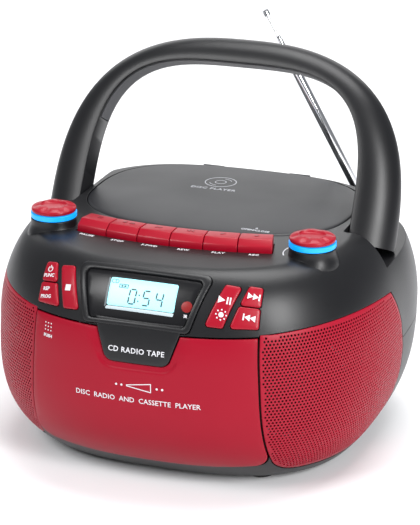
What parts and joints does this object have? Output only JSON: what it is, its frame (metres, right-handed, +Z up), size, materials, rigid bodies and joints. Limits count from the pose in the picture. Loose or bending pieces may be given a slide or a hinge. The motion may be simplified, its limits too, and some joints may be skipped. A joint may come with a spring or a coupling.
{
  "type": "portable cd and cassette player",
  "caption": "Rounded portable stereo with a CD lid on top, a front cassette door, side grilles, piano keys, knobs, a swinging arched handle and a telescopic antenna.",
  "frame": {"origin": "on the ground under the middle of the housing", "axes": "+Z up, the front with the cassette door faces -Y, +X to the right seen from the front"},
  "size_m": [0.253, 0.2488, 0.244],
  "materials": {
    "black_plastic": "satin black moulding",
    "grey_plastic": "satin dark grey moulding",
    "red_plastic": "glossy crimson moulding",
    "red_mesh": "crimson painted perforated sheet",
    "blue_ring": "bright cyan-blue translucent plastic",
    "dark_window": "glossy smoked window",
    "screen": "pale cyan liquid crystal display",
    "steel": "plated steel",
    "chrome": "polished chrome",
    "paper": "dark paper cone",
    "board": "green circuit board",
    "rubber": "black rubber"
  },
  "bodies": {
    "housing": {"base_housing": "black_plastic", "upper_housing": "black_plastic", "front_chassis": "black_plastic", "grille_right": "red_mesh", "grille_left": "red_mesh", "display_bezel": "grey_plastic", "display_window": "dark_window", "lcd_module": "screen", "cd_deck": "grey_plastic", "tape_chassis": "steel", "tape_motor": "steel", "key_shaft": "steel", "light_ring_left": "blue_ring", "light_ring_right": "blue_ring", "handle_pivot_left": "steel", "handle_pivot_right": "steel", "speaker_left": "steel", "speaker_cone_left": "paper", "speaker_right": "steel", "speaker_cone_right": "paper", "battery_bay": "black_plastic", "ac_inlet": "black_plastic", "transformer": "steel", "main_board": "board", "foot_front_left": "rubber", "foot_front_right": "rubber", "foot_rear_left": "rubber", "foot_rear_right": "rubber"},
    "lid": {"cd_lid": "grey_plastic"},
    "clamp": {"disc_clamp": "black_plastic"},
    "spindle": {"cd_spindle": "black_plastic"},
    "laser": {"laser_sled": "black_plastic"},
    "door": {"cassette_door": "red_plastic", "cassette_carrier": "black_plastic"},
    "reel_left": {"reel_spindle_left": "black_plastic"},
    "reel_right": {"reel_spindle_right": "black_plastic"},
    "flywheel": {"capstan_flywheel": "steel"},
    "head": {"head_plate": "steel"},
    "key_pause": {"key_pause": "red_plastic"},
    "key_stop": {"key_stop": "red_plastic"},
    "key_forward": {"key_forward": "red_plastic"},
    "key_rewind": {"key_rewind": "red_plastic"},
    "key_play": {"key_play": "red_plastic"},
    "key_record": {"key_record": "red_plastic"},
    "tuning": {"tuning_knob": "red_plastic"},
    "volume": {"volume_knob": "red_plastic"},
    "button_play": {"button_play": "red_plastic"},
    "button_previous": {"button_previous": "red_plastic"},
    "button_next": {"button_next": "red_plastic"},
    "button_stop": {"button_stop": "red_plastic"},
    "button_program": {"button_program": "red_plastic"},
    "button_function": {"button_function": "red_plastic"},
    "handle": {"handle_shell": "black_plastic", "handle_grip": "grey_plastic"},
    "antenna_base": {"antenna_knuckle": "chrome"},
    "antenna_mast": {"antenna_tube_1": "chrome"},
    "antenna_second": {"antenna_tube_2": "chrome"},
    "antenna_third": {"antenna_tube_3": "chrome"},
    "antenna_tip": {"antenna_rod": "chrome"},
    "battery_cover": {"battery_door": "black_plastic"}
  },
  "joints": [
    {"name": "handle_swing", "type": "hinge", "parent": "housing", "child": "handle", "pos_m": [0, 0.028, 0.1345], "axis": [-1, 0, 0], "range_deg": [-27, 15]},
    {"name": "lid_hinge", "type": "hinge", "parent": "housing", "child": "lid", "pos_m": [0, 0.0981, 0.1374], "axis": [-1, 0, 0], "range_deg": [0, 30]},
    {"name": "clamp_spin", "type": "hinge", "parent": "lid", "child": "clamp", "pos_m": [0, 0.035, 0.134], "axis": [0, 0, 1], "continuous": true},
    {"name": "disc_spin", "type": "hinge", "parent": "housing", "child": "spindle", "pos_m": [0, 0.035, 0.1284], "axis": [0, 0, 1], "continuous": true},
    {"name": "laser_travel", "type": "slide", "parent": "housing", "child": "laser", "axis": [1, 0, 0], "range_m": [0, 0.035]},
    {"name": "door_hinge", "type": "hinge", "parent": "housing", "child": "door", "pos_m": [0, -0.09941, 0.017], "axis": [1, 0, 0], "range_deg": [0, 28]},
    {"name": "reel_left_spin", "type": "hinge", "parent": "housing", "child": "reel_left", "pos_m": [-0.02125, -0.08, 0.0604], "axis": [0, 1, 0], "continuous": true},
    {"name": "reel_right_spin", "type": "hinge", "parent": "housing", "child": "reel_right", "pos_m": [0.02125, -0.08, 0.0604], "axis": [0, 1, 0], "continuous": true},
    {"name": "capstan_spin", "type": "hinge", "parent": "housing", "child": "flywheel", "pos_m": [0.033, -0.07, 0.0884], "axis": [0, 1, 0], "continuous": true},
    {"name": "head_travel", "type": "slide", "parent": "housing", "child": "head", "axis": [0, 0, -1], "range_m": [0, 0.0035], "stiffness_N_per_m": 400},
    {"name": "key_pause_press", "type": "hinge", "parent": "housing", "child": "key_pause", "pos_m": [0, -0.0425, 0.129], "axis": [1, 0, 0], "range_deg": [0, 8], "stiffness_Nm_per_rad": 0.3},
    {"name": "key_stop_press", "type": "hinge", "parent": "housing", "child": "key_stop", "pos_m": [0, -0.0425, 0.129], "axis": [1, 0, 0], "range_deg": [0, 8], "stiffness_Nm_per_rad": 0.3},
    {"name": "key_forward_press", "type": "hinge", "parent": "housing", "child": "key_forward", "pos_m": [0, -0.0425, 0.129], "axis": [1, 0, 0], "range_deg": [0, 8], "stiffness_Nm_per_rad": 0.3},
    {"name": "key_rewind_press", "type": "hinge", "parent": "housing", "child": "key_rewind", "pos_m": [0, -0.0425, 0.129], "axis": [1, 0, 0], "range_deg": [0, 8], "stiffness_Nm_per_rad": 0.3},
    {"name": "key_play_press", "type": "hinge", "parent": "housing", "child": "key_play", "pos_m": [0, -0.0425, 0.129], "axis": [1, 0, 0], "range_deg": [0, 8], "stiffness_Nm_per_rad": 0.3},
    {"name": "key_record_press", "type": "hinge", "parent": "housing", "child": "key_record", "pos_m": [0, -0.0425, 0.129], "axis": [1, 0, 0], "range_deg": [0, 8], "stiffness_Nm_per_rad": 0.3},
    {"name": "tuning_turn", "type": "hinge", "parent": "housing", "child": "tuning", "pos_m": [-0.0838, -0.0466, 0.148], "axis": [0, 0, 1], "range_deg": [-150, 150]},
    {"name": "volume_turn", "type": "hinge", "parent": "housing", "child": "volume", "pos_m": [0.0838, -0.0466, 0.148], "axis": [0, 0, 1], "range_deg": [-150, 150]},
    {"name": "button_play_press", "type": "slide", "parent": "housing", "child": "button_play", "axis": [0, 0.8387, -0.5446], "range_m": [0, 0.0012], "stiffness_N_per_m": 800},
    {"name": "button_previous_press", "type": "slide", "parent": "housing", "child": "button_previous", "axis": [0, 0.8387, -0.5446], "range_m": [0, 0.0012], "stiffness_N_per_m": 800},
    {"name": "button_next_press", "type": "slide", "parent": "housing", "child": "button_next", "axis": [0, 0.8387, -0.5446], "range_m": [0, 0.0012], "stiffness_N_per_m": 800},
    {"name": "button_stop_press", "type": "slide", "parent": "housing", "child": "button_stop", "axis": [0, 0.8387, -0.5446], "range_m": [0, 0.0012], "stiffness_N_per_m": 800},
    {"name": "button_program_press", "type": "slide", "parent": "housing", "child": "button_program", "axis": [0, 0.8387, -0.5446], "range_m": [0, 0.0012], "stiffness_N_per_m": 800},
    {"name": "button_function_press", "type": "slide", "parent": "housing", "child": "button_function", "axis": [0, 0.8387, -0.5446], "range_m": [0, 0.0012], "stiffness_N_per_m": 800},
    {"name": "antenna_swivel", "type": "hinge", "parent": "housing", "child": "antenna_base", "pos_m": [0.067, 0.117, 0.121], "axis": [0, 0, 1], "range_deg": [-180, 0]},
    {"name": "antenna_tilt", "type": "hinge", "parent": "antenna_base", "child": "antenna_mast", "pos_m": [0.067, 0.117, 0.121], "axis": [0, 1, 0], "range_deg": [-60, 29.4]},
    {"name": "antenna_extend_second", "type": "slide", "parent": "antenna_mast", "child": "antenna_second", "axis": [-0.4909, 0, 0.8712], "range_m": [-0.01, 0.06]},
    {"name": "antenna_extend_third", "type": "slide", "parent": "antenna_second", "child": "antenna_third", "axis": [-0.4909, 0, 0.8712], "range_m": [-0.011, 0.058]},
    {"name": "antenna_extend_tip", "type": "slide", "parent": "antenna_third", "child": "antenna_tip", "axis": [-0.4909, 0, 0.8712], "range_m": [-0.01, 0.064]},
    {"name": "battery_cover_hinge", "type": "hinge", "parent": "housing", "child": "battery_cover", "pos_m": [0, 0.1079, 0.02], "axis": [-1, 0, 0], "range_deg": [0, 75]}
  ],
  "couplings": [
    {"joint": "key_play_press", "follows": "head_travel", "rad_per_m": 39.893}
  ]
}
